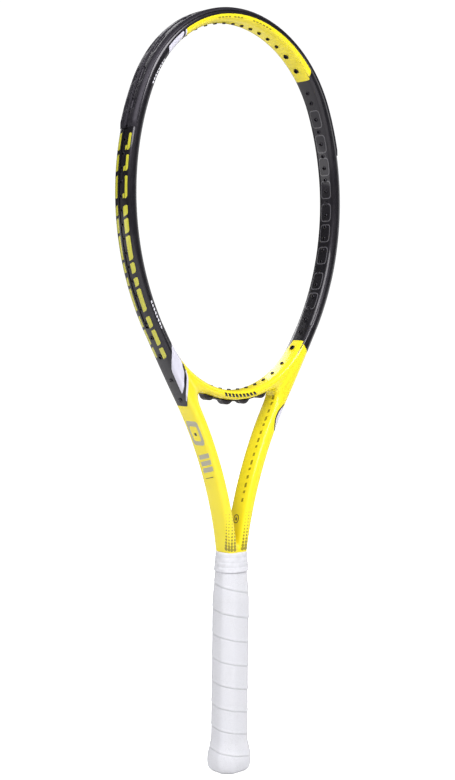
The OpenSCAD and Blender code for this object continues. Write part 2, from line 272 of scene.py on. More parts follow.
def outline(x, z):
    """Distance outside the frame in its plane, the share of bridge, and how far off the tube."""
    x = np.abs(x)
    tube_off = along_and_off(x, z)[1]
    tube = np.abs(tube_off) - HALF_WIDTH
    # The two shafts meet in the middle, with a fillet between them
    other = np.abs(along_and_off(-x, z)[1]) - HALF_WIDTH
    tube = np.where(z < CROTCH_HIGH, smooth_min(tube, other, CROTCH_FILLET), tube)
    # The bridge leaves the head's inner contour without a step, and meets the shafts in a fillet
    dx, dz = x - SIDE_CENTRE[0], z - SIDE_CENTRE[1]
    side_angle = np.degrees(np.arctan2(dz, dx))
    bridge_angle = np.degrees(np.arctan2(z - BRIDGE_CENTRE[1], x))
    ring = np.hypot(x, z - BRIDGE_CENTRE[1]) - (BRIDGE_INNER + BRIDGE_OUTER) / 2
    arm = np.hypot(dx, dz) - (SIDE_RADIUS - HALF_WIDTH + BRIDGE_WIDTH / 2)
    bridge_off = np.where(bridge_angle < BRIDGE_START, ring, arm)
    bridge = np.abs(bridge_off) - BRIDGE_WIDTH / 2 + 2 * np.maximum(side_angle - SIDE_END, 0)
    bridge = np.where((z > BRIDGE_LOW) & (z < HEAD_LOW), bridge, tube + 99)
    throat_side = smooth_step(0.5 + bridge_off / BRIDGE_WIDTH)
    throat_side = throat_side * smooth_step(0.5 - tube_off / TUBE_WIDTH)
    share = smooth_step(0.5 + (tube - bridge) / BRIDGE_FADE)
    return smooth_min(tube, bridge, BRIDGE_FILLET * throat_side), share, tube_off


def frame_distance(x, y, z):
    """Distance outside the painted frame, with crowned faces and a slanted bevel at each corner."""
    flat, bridge, tube_off = outline(x, z)
    depth = np.abs(y)
    shaft = smooth_step((HEAD_LOW - z) / SHAFT_FADE)
    cut = 1 - (1 - BRIDGE_BEVEL) * bridge
    bevel_in = (BEVEL_IN - SHAFT_BEVEL * shaft) * cut
    bevel_up = (BEVEL_UP - SHAFT_BEVEL * shaft) * cut
    half_depth = HALF_DEPTH + (BRIDGE_DEPTH / 2 - HALF_DEPTH) * bridge
    side_fall = FACE_CROWN * np.minimum(depth / half_depth, 1) ** 2
    middle = np.clip(-flat / HALF_WIDTH, 0, 1)
    roll = INNER_ROLL * smooth_step((z - ROLL_LOW) / ROLL_FADE) * (1 - bridge)
    front_fall = FRONT_CROWN * (1 - middle) ** 2 + roll * np.maximum(-ROLL_START - tube_off, 0) ** 2
    bevel = bevel_up * (flat + bevel_in) + bevel_in * (depth - half_depth)
    bevel = bevel / np.hypot(bevel_in, bevel_up)
    surface = smooth_max([flat + side_fall, depth - half_depth + front_fall, bevel], EDGE_ROUNDING)
    return np.maximum(surface, TUBE_FOOT - z)


def frame_field(points):
    return frame_distance(*points.T)


def slope(field, points, step=0.02):
    """The field's gradient, by central differences."""
    shifts = np.eye(3) * step
    return np.stack([(field(points + e) - field(points - e)) / (2 * step) for e in shifts], -1)


def unit(vectors):
    return vectors / np.maximum(np.linalg.norm(vectors, axis=-1, keepdims=True), 1e-9)


def settle(field, points, level=0.0, rounds=4, reach=0.8):
    """Points moved along the gradient to the surface where the field has the given level."""
    for _ in range(rounds):
        g = slope(field, points)
        move = ((field(points) - level) / np.maximum((g * g).sum(-1), 0.05))[:, None] * g
        length = np.linalg.norm(move, axis=-1, keepdims=True)
        points = points - move * np.minimum(1, reach / np.maximum(length, 1e-9))
    return points


def contour(sample, low, high, cell):
    """A closed mesh of quads where a field sampled over open grids changes sign."""
    axes = [np.arange(a, b + cell, cell) for a, b in zip(low, high)]
    inside = sample(*np.meshgrid(*axes, indexing="ij", sparse=True)) < 0
    low_end, high_end = slice(None, -1), slice(1, None)
    corners = [inside[i, j, k] for i, j, k in itertools.product((low_end, high_end), repeat=3)]
    crossed = np.logical_or.reduce(corners) & ~np.logical_and.reduce(corners)
    number = np.full(crossed.shape, -1)
    number[crossed] = np.arange(crossed.sum())
    points = np.stack([axis[i] + cell / 2 for axis, i in zip(axes, np.nonzero(crossed))], -1)
    faces = []
    for axis in range(3):
        a = np.moveaxis(inside, axis, 0)
        c = np.moveaxis(number, axis, 0)
        i, j, k = (np.argwhere((a[1:] != a[:-1])[:, 1:-1, 1:-1]) + [0, 1, 1]).T
        ring = np.stack([c[i, j - 1, k - 1], c[i, j, k - 1], c[i, j, k], c[i, j - 1, k]], -1)
        wrong = ~a[i, j, k] ^ (axis == 1)
        ring[wrong] = ring[wrong, ::-1]
        faces.append(ring)
    return points, np.concatenate(faces)


def relaxed(field, points, faces, rounds=3):
    """The contour's points, evened out along the surface and settled on it."""
    points = settle(field, points)
    for _ in range(rounds):
        total = np.zeros_like(points)
        share = np.zeros(len(points))
        middles = points[faces].mean(1)
        for corner in faces.T:
            np.add.at(total, corner, middles)
            np.add.at(share, corner, 1)
        pull = total / share[:, None] - points
        normal = unit(slope(field, points))
        pull -= (pull * normal).sum(-1, keepdims=True) * normal
        points = settle(field, points + 0.6 * pull, rounds=2)
    return points


# ---------------- pieces

def linked(name, data):
    """A new object in the scene."""
    made = bpy.data.objects.new(name, data)
    bpy.context.scene.collection.objects.link(made)
    return made


def put(name, vertices, faces, slot, material=None, smooth=40):
    """A new piece from points in millimetres. A tool for a cut or a join has no slot."""
    mesh = bpy.data.meshes.new(name)
    faces = [[int(corner) for corner in face] for face in faces]
    mesh.from_pydata((np.asarray(vertices) * MM).tolist(), [], faces)
    piece = linked(name, mesh)
    shell = bmesh.new()
    shell.from_mesh(mesh)
    if shell.calc_volume(signed=True) < 0:
        bmesh.ops.reverse_faces(shell, faces=shell.faces)
    shell.to_mesh(mesh)
    shell.free()
    shade(piece, smooth)
    if slot:
        mesh.materials.append(material or BY_SLOT[slot])
        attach(piece, "racket")
    return piece


def shade(piece, angle):
    """Smooth shading, with edges steeper than the angle left sharp."""
    shell = bmesh.new()
    shell.from_mesh(piece.data)
    for face in shell.faces:
        face.smooth = True
    for edge in shell.edges:
        edge.smooth = len(edge.link_faces) == 2 and edge.calc_face_angle(0) < math.radians(angle)
    shell.to_mesh(piece.data)
    shell.free()


def grown(name, distance, low, high, cell, slot):
    """A piece whose surface is where a distance in millimetres is zero, between two corners."""
    points, faces = contour(distance, low, high, cell)
    points = relaxed(lambda places: distance(*places.T), points, faces)
    return put(name, points, faces, slot)


def joined(shells):
    """One mesh from several closed ones."""
    vertices, faces, start = [], [], 0
    for points, rings in shells:
        vertices.append(np.asarray(points, float))
        faces += [[int(i) + start for i in ring] for ring in rings]
        start += len(points)
    return np.concatenate(vertices), faces


def combine(piece, shells, operation):
    """Joins solids to a piece, or cuts them out of it."""
    vertices, faces = joined(shells)
    tool = put("tool", vertices, faces, None)
    modifier = piece.modifiers.new("combine", "BOOLEAN")
    modifier.operation = operation
    modifier.solver = "MANIFOLD"
    modifier.object = tool
    shape = piece.evaluated_get(bpy.context.evaluated_depsgraph_get())
    mesh = bpy.data.meshes.new_from_object(shape)
    piece.modifiers.clear()
    piece.data = mesh
    bpy.data.objects.remove(tool)


def grid_faces(rows, columns, round_rows=False, round_columns=False):
    """Quads of a grid of points, which may close on itself along its rows or columns."""
    faces = []
    for i in range(rows if round_rows else rows - 1):
        here, above = i * columns, (i + 1) % rows * columns
        for j in range(columns if round_columns else columns - 1):
            after = (j + 1) % columns
            faces.append([here + j, here + after, above + after, above + j])
    return faces


def tube_faces(rows, columns):
    """Faces of a stack of rings, with a cap at each end."""
    ends = [list(range(columns))[::-1], list(range((rows - 1) * columns, rows * columns))]
    return grid_faces(rows, columns, round_columns=True) + ends


def swept(lengths, sections):
    """A solid carried along the hoop, with one outline of (off, y) points for each length."""
    points, normal = hoop(lengths)
    off, depth = sections[..., 0], sections[..., 1]
    x = points[:, None, 0] + normal[:, None, 0] * off
    z = points[:, None, 1] + normal[:, None, 1] * off
    rings = np.stack([x, depth, z], -1)
    return rings.reshape(-1, 3), tube_faces(len(lengths), sections.shape[1])


# ---------------- string holes

# A string hole runs along an arc's radius, from its inner to its outer reach, on one side of the
# racket: 1 is the right and -1 the left
Hole = namedtuple("Hole", "centre angle inner outer wide side")


def main_x(i):
    """Place of a main string across the face. The mains fan out toward the sides."""
    return MAIN_PITCH * (i + 0.5) + MAIN_FAN * i ** 4


def to_outer_face(centre, angle):
    """Distance from a point, along a line, to the outer face of the shaft."""
    m = np.array(centre) - SHAFT_CENTRE
    along = float(m @ direction(angle))
    reach = SHAFT_RADIUS + HALF_WIDTH
    return math.sqrt(along * along - float(m @ m) + reach * reach) - along


def string_holes():
    """All string holes, by the piece whose grommets line them."""
    groups = {"guard": [], "strip": [], "bridge": [], "shoulder": []}
    crown_inner = CROWN_RADIUS - HALF_WIDTH
    side_inner = SIDE_RADIUS - HALF_WIDTH

    def add(group, centre, angle, inner, outer, wide=False):
        for side in (-1, 1):
            groups[group].append(Hole(centre, angle, inner, outer, wide, side))

    for i in range(MAINS_A_SIDE):
        angle = math.degrees(math.acos(main_x(i) / crown_inner))
        wide = i in WIDE_CROWN_MAINS
        add("guard", CROWN_CENTRE, angle, crown_inner, crown_inner + TUBE_WIDTH, wide)
    for i in range(CROSSES - 1):
        rise = FIRST_CROSS + CROSS_PITCH * i - SIDE_CENTRE[1]
        angle = math.degrees(math.asin(rise / side_inner))
        group = "strip" if i < FIRST_GUARDED else "guard"
        add(group, SIDE_CENTRE, angle, side_inner, side_inner + TUBE_WIDTH)
    angle = math.degrees(math.asin((LAST_CROSS - CROWN_CENTRE[1]) / crown_inner))
    add("guard", CROWN_CENTRE, angle, crown_inner, crown_inner + TUBE_WIDTH)
    for i in range(MAINS_A_SIDE - 1):
        angle = -math.degrees(math.acos(main_x(i) / BRIDGE_INNER))
        if i < THROUGH_MAINS:
            add("bridge", BRIDGE_CENTRE, angle, BRIDGE_INNER, BRIDGE_OUTER)
        else:
            outer = to_outer_face(BRIDGE_CENTRE, angle)
            add("shoulder", BRIDGE_CENTRE, angle, BRIDGE_INNER, outer, i == WIDE_SHOULDER_MAIN)
    outer = to_outer_face(SIDE_CENTRE, CORNER_MAIN_ANGLE)
    add("shoulder", SIDE_CENTRE, CORNER_MAIN_ANGLE, side_inner, outer)
    return groups


HOLES = string_holes()
PIN_SIDES = 20
# How the radius changes along a grommet's tip, for its outside and for the mouth of its bore
TIP_OUTSIDE = [(0, -0.5), (0.2, -0.2), (0.6, -0.03), (1, 0)]
TIP_MOUTH = [(-2, 0.42), (0, 0.36), (0.2, 0.16), (0.55, 0.03), (1, 0)]


def grommet_radius(hole):
    return GROMMET_RADIUS + WIDE_EXTRA * hole.wide


def pin(hole, profile):
    """A solid turned round a hole's axis. The profile is (distance from the inner face, radius)."""
    x, z = direction(hole.angle)
    axis = np.array([x * hole.side, 0.0, z])
    origin = np.array([hole.centre[0] * hole.side, 0.0, hole.centre[1]]) + hole.inner * axis
    across = np.array([0.0, 1.0, 0.0])
    c, s = turn_parts(np.arange(PIN_SIDES)[:, None] * 360 / PIN_SIDES)
    circle = c * across + s * np.cross(axis, across)
    points = [origin + place * axis + radius * circle for place, radius in profile]
    return np.concatenate(points), tube_faces(len(profile), PIN_SIDES)


def tipped(hole, radius, tip, beyond):
    """A pin that starts with a shaped tip and ends at a given distance past the outer face."""
    start = [(place - GROMMET_TIP, radius + change) for place, change in tip]
    return pin(hole, start + [(hole.outer - hole.inner + beyond, radius)])


def bore_radius(hole):
    return BORE_RADIUS + WIDE_BORE_EXTRA * hole.wide


def grommeted(piece, holes, outside, through, sharp):
    """Adds the grommets' barrels to a piece and cuts their bores, both past the outer face."""
    barrels = [tipped(hole, grommet_radius(hole), TIP_OUTSIDE, outside) for hole in holes]
    bores = [tipped(hole, bore_radius(hole), TIP_MOUTH, through) for hole in holes]
    combine(piece, barrels, "UNION")
    combine(piece, bores, "DIFFERENCE")
    shade(piece, sharp)


# ---------------- paint zones

def polygon_depth(points, corners):
    """How far points lie inside a polygon, in its plane. It is negative outside."""
    corners = np.asarray(corners, float)
    nearest = np.full(len(points), 1e9)
    inside = np.zeros(len(points), bool)
    for a, b in zip(corners, np.roll(corners, -1, axis=0)):
        edge, reach = b - a, points - a
        t = np.clip((reach @ edge) / (edge @ edge), 0, 1)
        nearest = np.minimum(nearest, np.linalg.norm(reach - t[:, None] * edge, axis=-1))
        crosses = (a[1] > points[:, 1]) != (b[1] > points[:, 1])
        rise = np.where(abs(edge[1]) < 1e-12, 1e-12, edge[1])
        inside ^= crosses & (points[:, 0] < edge[0] / rise * (points[:, 1] - a[1]) + a[0])
    return np.where(inside, nearest, -nearest)


# Zones on the left, as (length from the crown, distance round the section from the front's middle).
# The right side has the same turned half a turn round the racket's axis.
YELLOW_CROWN = [
    (-FAR, 0.6), (73.2, 0.6), (75.9, -5.6), (76.4, -6.6), (100.5, -7.4), (100.5, -FAR),
    (-FAR, -FAR),
]
YELLOW_CROWN_REAR = [
    (-FAR, 0.6), (94, 0.6), (95.8, -1.2), (97.2, -3.4), (98.8, -5.8), (100.5, -9), (-FAR, -9),
]
YELLOW_SHAFT = [
    (900, -FAR), (364.4, -FAR), (364.4, -13), (378, -9.8), (391, -9.5), (398.2, -7), (408, -0.3),
    (413.9, 4.3), (420.1, 8.2), (424.5, 10.5), (424.5, FAR), (900, FAR),
]
YELLOW_SHAFT_REAR = [(366.5, -9), (366.5, -5.6), (373.5, 5.6), (374.5, 9), (900, 9), (900, -9)]
WHITE_SLIVER = [(73.2, 0.6), (75.2, 0.6), (77.9, -5.6), (77.9, -7), (75.9, -7), (75.9, -5.6)]
WHITE_UPPER = [
    (77.2, 0.8), (78, -0.9), (82.4, -4.6), (83.3, -7), (104.6, -7), (103.6, -4.3), (100, 0.8),
]
WHITE_LOWER = [
    (364, -7.6), (369, -2.2), (377.5, 3.6), (386, 8.8), (389.2, 9.6), (411.5, 10.1), (409.5, 7.9),
    (405, 3.7), (394.8, -2.9), (387, -6.6), (386, -8), (378, -8.6),
]
WHITE_LINE = [
    (388.7, -8.3), (396.7, -5.4), (406.6, 1.5), (411.4, 5.1), (418.2, 9), (420.1, 9.1),
    (413.9, 4.3), (408, -0.3), (398.2, -7), (391, -9.5),
]
WHITE_EDGE_REAR = [
    (430.9, 2.2), (436, -0.3), (440.7, -0.9), (446.1, 0), (452.3, 2.3), (454, 3.4), (454, 9),
    (430.9, 9),
]


# Depths from the middle plane up to which the front's zones hold, and from which the rear's do
FRONT_LIMIT = 8.7
REAR_LIMIT = 9.2
REAR_REACH = 7
BRIDGE_PAINT_OFF = -6.6
BRIDGE_PAINT_DEPTH = 3.0


def paint_zones(points):
    """How far each point lies inside the yellow and inside the white paint, in millimetres."""
    x, y, z = points.T
    depth = np.where(x < 0, y, -y)
    s, off = along_and_off(np.abs(x), z)
    round_front = np.where(off > 0, off + depth + HALF_DEPTH, off - depth - HALF_DEPTH)
    front = np.stack([s, np.where(depth < FRONT_LIMIT, round_front, 0)], -1)
    rear = np.stack([s, np.clip(off, -REAR_REACH, REAR_REACH)], -1)
    on_rear = depth > REAR_LIMIT

    def zone(on_front, on_back):
        a = np.maximum.reduce([polygon_depth(front, p) for p in on_front])
        b = np.maximum.reduce([polygon_depth(rear, p) for p in on_back])
        return np.where(on_rear, b, a)

    yellow = zone([YELLOW_CROWN, YELLOW_SHAFT], [YELLOW_CROWN_REAR, YELLOW_SHAFT_REAR])
    white = zone([WHITE_SLIVER, WHITE_UPPER, WHITE_LOWER, WHITE_LINE], [WHITE_EDGE_REAR])
    bridge = (off < BRIDGE_PAINT_OFF) & (z < HEAD_LOW)
    yellow = np.where(bridge, BRIDGE_PAINT_DEPTH, yellow)
    return yellow, np.where(bridge, -BRIDGE_PAINT_DEPTH, white)


# ---------------- materials

def node(tree, kind, inputs=None, **settings):
    made = tree.nodes.new("ShaderNode" + kind)
    for key, value in settings.items():
        setattr(made, key, value)
    for key, value in (inputs or {}).items():
        if isinstance(value, bpy.types.NodeSocket):
            tree.links.new(value, made.inputs[key])
        else:
            made.inputs[key].default_value = value
    return made


def noise(tree, size, detail=3.0, stretch=None, roughness=0.55):
    """A noise with features of about the given size in millimetres, in the object's own space."""
    place = node(tree, "TexCoord").outputs["Object"]
    if stretch:
        place = node(tree, "Mapping", {"Vector": place, "Scale": stretch}).outputs[0]
    made = node(tree, "TexNoise", {
        "Vector": place, "Scale": 1 / (size * MM), "Detail": detail, "Roughness": roughness,
    })
    return made.outputs["Fac"]


def remap(tree, value, low, high, to_low=0.0, to_high=1.0):
    made = node(tree, "MapRange", {
        "Value": value, "From Min": low, "From Max": high, "To Min": to_low, "To Max": to_high,
    })
    return made.outputs[0]


def mixed(tree, share, a, b, blend="MIX"):
    made = node(tree, "Mix", data_type="RGBA", blend_type=blend)
    for socket, value in ((made.inputs[0], share), (made.inputs[6], a), (made.inputs[7], b)):
        if isinstance(value, bpy.types.NodeSocket):
            tree.links.new(value, socket)
        else:
            socket.default_value = value if isinstance(value, float) else (*value, 1.0)
    return made.outputs[2]


def times(colour, factor):
    return tuple(c * factor for c in colour)


def shaded(tree, colour, dark, share):
    """The colour, with a darker shade of itself mixed in where share is high."""
    return mixed(tree, share, colour, times(colour, dark))


def patchy(tree, size, low=0.0, high=1.0):
    """A value that wanders from low to high, in patches of about the given size."""
    return remap(tree, noise(tree, size), 0.3, 0.7, low, high)


def stored(tree, name):
    """A number stored on the mesh's points."""
    made = node(tree, "Attribute", attribute_name=name, attribute_type="GEOMETRY")
    return made.outputs["Fac"]


def bumped(tree, layers):
    """A normal from several heights, each given as (height, depth in millimetres)."""
    normal = None
    for height, depth in layers:
        inputs = {"Height": height, "Distance": depth * MM, "Strength": 1.0}
        if normal:
            inputs["Normal"] = normal
        normal = node(tree, "Bump", inputs).outputs[0]
    return normal


def new_material(name, **constants):
    """A material, with numbers that are the same all over it set on the shader's own sockets."""
    made = bpy.data.materials.new(name)
    made.use_nodes = True
    tree = made.node_tree
    shader = tree.nodes["Principled BSDF"]
    for key, value in constants.items():
        shader.inputs[key.replace("_", " ").title().replace("Ior", "IOR")].default_value = value
    return made, tree, shader


def link(tree, shader, **sockets):
    for key, value in sockets.items():
        name = key.replace("_", " ").title()
        tree.links.new(value, shader.inputs[name])


BLACK = (0.008, 0.0075, 0.0095)
CARBON_FLECK = (0.035, 0.034, 0.042)
YELLOW = (0.91, 0.76, 0.02)
WHITE = (0.68, 0.665, 0.77)
# The dark lacquer and the nylon shine slightly violet, with alpha as the last number
GLOSS_TINT = (0.93, 0.86, 1.0, 1.0)
SOIL_TINT = (0.955, 0.955, 0.965)
# Half the width of the soft edge between two colours, in millimetres
PAINT_EDGE = 0.12


def frame_paint():
    """Clear-coated lacquer in three colours, by the zones stored on the mesh."""
    made, tree, shader = new_material(
        "frame_lacquer", coat_weight=0.5, coat_roughness=0.06, coat_ior=1.5, ior=1.4,
        specular_tint=GLOSS_TINT)
    cloud = patchy(tree, 60)
    fleck = remap(tree, noise(tree, 0.35, detail=1.0), 0.62, 0.8)
    carbon = mixed(tree, fleck, shaded(tree, BLACK, 0.75, cloud), CARBON_FLECK)
    colour = carbon
    for zone, paint in (("yellow", YELLOW), ("white", WHITE)):
        share = remap(tree, stored(tree, zone), -PAINT_EDGE, PAINT_EDGE)
        colour = mixed(tree, share, colour, shaded(tree, paint, 0.93, cloud))
    peel = bumped(tree, [(noise(tree, 2.6, detail=1.0), 0.012), (noise(tree, 9, detail=1.0), 0.02)])
    link(tree, shader, base_color=colour, roughness=patchy(tree, 14, 0.30, 0.42), normal=peel)
    return made


def ink(name, colour, roughness=0.35, metallic=0.0):
    """Printed ink under the same clear coat."""
    made, tree, shader = new_material(
        name, coat_weight=0.6, coat_roughness=0.08, metallic=metallic)
    worn = shaded(tree, colour, 0.88, remap(tree, noise(tree, 1.1), 0.35, 0.75))
    rough = patchy(tree, 5, roughness - 0.05, roughness + 0.08)
    peel = bumped(tree, [(noise(tree, 2.6, detail=1.0), 0.012)])
    link(tree, shader, base_color=worn, roughness=rough, normal=peel)
    return made


def nylon(name, colour, roughness, grain=0.004):
    """Moulded nylon: fine spark-eroded grain, flow marks, and pale scuffs along its length."""
    made, tree, shader = new_material(name, ior=1.5, specular_tint=GLOSS_TINT)
    flow = remap(tree, noise(tree, 12, stretch=(1, 1, 0.3)), 0.35, 0.7)
    scuff = noise(tree, 1.6, detail=6.0, stretch=(1, 1, 0.18), roughness=0.7)
    pale = tuple(c * 1.3 + 0.003 for c in colour)
    worn = mixed(tree, remap(tree, scuff, 0.7, 0.85), shaded(tree, colour, 0.8, flow), pale)
    rough = patchy(tree, 3, roughness - 0.03, roughness + 0.04)
    grains = bumped(tree, [(noise(tree, 0.3, detail=2.0), grain), (noise(tree, 4), 0.006)])
    link(tree, shader, base_color=worn, roughness=rough, normal=grains)
    return made


def leather(name, colour, grain_size, seam_shade=False):
    """Coated synthetic leather with a pebbled grain, darker in the creases between the pebbles and,
    where asked, in the grooves between the wraps of tape: painted shade.
    """
    made, tree, shader = new_material(name, ior=1.45, sheen_weight=0.15, sheen_roughness=0.4)
    place = node(tree, "TexCoord").outputs["Object"]
    pebble = node(tree, "TexVoronoi", {
        "Vector": place, "Scale": 1 / (grain_size * MM), "Randomness": 1.0,
    }, feature="DISTANCE_TO_EDGE").outputs["Distance"]
    # Painted shade: darker in the low creases between the pebbles, where the bump sinks
    pore_shade = remap(tree, pebble, 0.0, 0.18, 1.0, 0.0)
    soil = remap(tree, noise(tree, 22, detail=4.0), 0.42, 0.75)
    soiled = tuple(c * f for c, f in zip(colour, SOIL_TINT))
    tone = mixed(tree, soil, shaded(tree, colour, 0.86, pore_shade), soiled)
    # Painted shade in the grooves of the tape's seam lines, from the mask stored on the mesh
    if seam_shade:
        tone = mixed(tree, stored(tree, "seam"), tone, times(colour, 0.8))
    relief = bumped(tree, [
        (remap(tree, pebble, 0.0, 0.35), 0.05),
        (noise(tree, 0.25, detail=2.0), 0.012),
        (noise(tree, 7), 0.12),
    ])
    link(tree, shader, base_color=tone, roughness=patchy(tree, 6, 0.5, 0.66), normal=relief)
    return made


def moulded(name, colour, roughness, metallic=0.0, grain=0.5, relief=0.015):
    """Plain moulded or drawn stock: a little uneven in tone, gloss and surface."""
    made, tree, shader = new_material(name, metallic=metallic)
    tone = shaded(tree, colour, 0.87, remap(tree, noise(tree, grain * 8), 0.35, 0.7))
    rough = patchy(tree, grain * 5, roughness - 0.06, roughness + 0.08)
    bumps = bumped(tree, [(noise(tree, grain), relief)])
    link(tree, shader, base_color=tone, roughness=rough, normal=bumps)
    return made


def foam(name, colour):
    """Skinned polyurethane foam: small closed cells that show through the skin, each darker in the
    pit at its middle as painted shade.
    """
    made, tree, shader = new_material(name)
    place = node(tree, "TexCoord").outputs["Object"]
    cells = node(tree, "TexVoronoi", {"Vector": place, "Scale": 1 / (0.9 * MM)}).outputs["Distance"]
    # Painted shade: darker in the middle of each cell, where the bump sinks it
    tone = mixed(tree, remap(tree, cells, 0.1, 0.7), times(colour, 0.8), colour)
    tone = mixed(tree, remap(tree, noise(tree, 18), 0.4, 0.8), tone, times(colour, 0.9))
    rough = remap(tree, cells, 0.0, 0.7, 0.85, 0.6)
    link(tree, shader, base_color=tone, roughness=rough, normal=bumped(tree, [(cells, 0.09)]))
    return made


PAINT = frame_paint()
PRINTS = {
    "black": ink("print_black", (0.02, 0.018, 0.012)),
    # Yellow print of the outer blocks, darker than the paint's yellow to match its look in shade:
    # painted shade
    "yellow": ink("print_yellow_with_painted_shade", (0.56, 0.53, 0.04)),
    "white": ink("print_white", (0.82, 0.81, 0.88)),
    "grey": ink("print_grey", (0.105, 0.10, 0.115), 0.45),
    "olive": ink("print_olive", (0.30, 0.245, 0.002)),
    "silver": ink("print_silver", (0.42, 0.40, 0.30), 0.4, 0.25),
}
BY_SLOT = {
    "frame_paint": PAINT,
    "bridge_paint": PAINT,
    "guard_nylon": nylon("guard_nylon_grain", (0.013, 0.0120, 0.0165), 0.5),
    "grommet_nylon": nylon("grommet_nylon_grain", (0.010, 0.0095, 0.0115), 0.36),
    "grip_tape": leather("grip_leather", (0.67, 0.67, 0.71), 1.1, seam_shade=True),
    "collar_rubber": moulded("collar_rubber_matte", (0.68, 0.68, 0.725), 0.55, relief=0.02),
    "cap_plastic": moulded("cap_plastic_satin", (0.70, 0.70, 0.73), 0.4, grain=0.8),
    "capsule_plastic": moulded("capsule_satin", (0.55, 0.55, 0.52), 0.35),
    "bead_metal": moulded("bead_steel", (0.42, 0.43, 0.45), 0.3, metallic=1.0),
    "staple_steel": moulded("staple_wire", (0.6, 0.61, 0.63), 0.28, metallic=1.0, grain=0.3),
    "handle_foam": foam("pallet_foam", (0.60, 0.49, 0.26)),
    "finishing_tape": leather("finishing_film", (0.78, 0.78, 0.80), 0.6),
}
for row in frame["record"]["subparts"]:
    mesh = frame["nodes"][row["node"]].data
    mesh.materials.clear()
    mesh.materials.append(BY_SLOT[row["material_slot"]])


# ---------------- painted frame

def add_values(mesh, name, values):
    layer = mesh.attributes.new(name, "FLOAT", "POINT")
    layer.data.foreach_set("value", np.asarray(values, np.float32))


def read(rows, key, width=1, kind=float):
    """One property of all rows of a mesh, as an array."""
    values = np.empty(len(rows) * width, kind)
    rows.foreach_get(key, values)
    return values.reshape(-1, width) if width > 1 else values


def mesh_points(mesh):
    return read(mesh.vertices, "co", 3) / MM


def follow_field(mesh, field, facing=0.6):
    """Smooth normals taken from the field, except on faces that were cut into it."""
    normals = unit(slope(field, mesh_points(mesh)))
    normals = normals[read(mesh.loops, "vertex_index", kind=int)]
    sizes = read(mesh.polygons, "loop_total", kind=int)
    flat = np.repeat(read(mesh.polygons, "normal", 3), sizes, axis=0)
    follows = (flat * normals).sum(-1, keepdims=True) > facing
    mesh.normals_split_custom_set(np.where(follows, normals, flat).tolist())


# How far the cut for each group's holes reaches past the tube's inner and outer face
SEAT_REACH = {"guard": (3, 1), "strip": (3, 1), "bridge": (3, 3), "shoulder": (6, 3)}
GROOVE_CORNER = 0.3
GROOVE_END = SIDE_END + 0.6


def mirrored(half):
    """An outline of (off, y) points, completed with the mirror image of its half."""
    return np.array(half + [(off, -depth) for off, depth in reversed(half)])


def evenly_swept(lengths, section):
    return swept(lengths, np.broadcast_to(section, (len(lengths), *section.shape)))


def painted_frame():
    corners = (-136, -12.4, 12.3), (136, 12.4, 687)
    piece = grown("painted_frame", frame_distance, *corners, FRAME_CELL, "frame_paint")
    reach = side_length(GROOVE_END)
    low, high, half = HALF_WIDTH - GROOVE_DEPTH, HALF_WIDTH + 2, GROOVE_WIDTH / 2
    section = mirrored([(high, half), (low + GROOVE_CORNER, half), (low, half - GROOVE_CORNER)])
    groove = evenly_swept(np.arange(-reach, reach + 1, 2.0), section)
    combine(piece, [groove], "DIFFERENCE")
    seats = []
    for group, (near, far) in SEAT_REACH.items():
        for hole in HOLES[group]:
            radius = grommet_radius(hole) + HOLE_CLEARANCE
            seats.append(pin(hole, [(-near, radius), (hole.outer - hole.inner + far, radius)]))
    combine(piece, seats, "DIFFERENCE")
    mesh = piece.data
    shade(piece, 180)
    yellow, white = paint_zones(mesh_points(mesh))
    add_values(mesh, "yellow", yellow)
    add_values(mesh, "white", white)
    follow_field(mesh, frame_field)
    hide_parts("frame_tube", "throat_bridge")


# ---------------- guard and grommets

# Half of the guard's section, from its front edge over the face to the floor of the string channel
GUARD_HALF = [
    (3.7, 10.2), (4.0, 10.5), (4.4, 10.55), (4.85, 10.3), (5.4, 9.6), (5.95, 8.7), (6.4, 7.75),
    (6.68, 6.8), (6.78, 5.9), (6.8, 5.3), (6.8, 4.7), (6.8, 4.1), (6.8, 3.5), (6.8, 2.9),
    (6.8, 2.35), (6.7, 1.95), (6.45, 1.75), (5.8, 1.7), (5.6, 1.5),
]
# Half of its inner side, which lies on the tube and dips into the groove
GUARD_SEAT_HALF = [(3.65, -9.9), (5.3, -7.5), (5.5, -2.3), (4.15, -2.25)]
# Shallow pockets, between these depths from the middle plane
POCKET_DEPTH = 0.5
POCKET_SHARE = 0.4
POCKET_FADE = 1.6
POCKET_FROM = 2.4
POCKET_TO = 6.3
# The thin lip along each edge, and the length over which the guard's ends thin out
LIP_HEIGHT = 0.14
LIP_PLACE = 7.3
LIP_SPREAD = 0.45
GUARD_FADE = 7.0


def guard_hole_lengths():
    """Places of the guard's string holes along the hoop."""
    places = []
    for hole in HOLES["guard"]:
        length = side_length(hole.angle)
        if hole.centre is CROWN_CENTRE:
            length = CROWN_RADIUS * math.radians(90 - hole.angle)
        places.append(length * hole.side)
    return sorted(places)


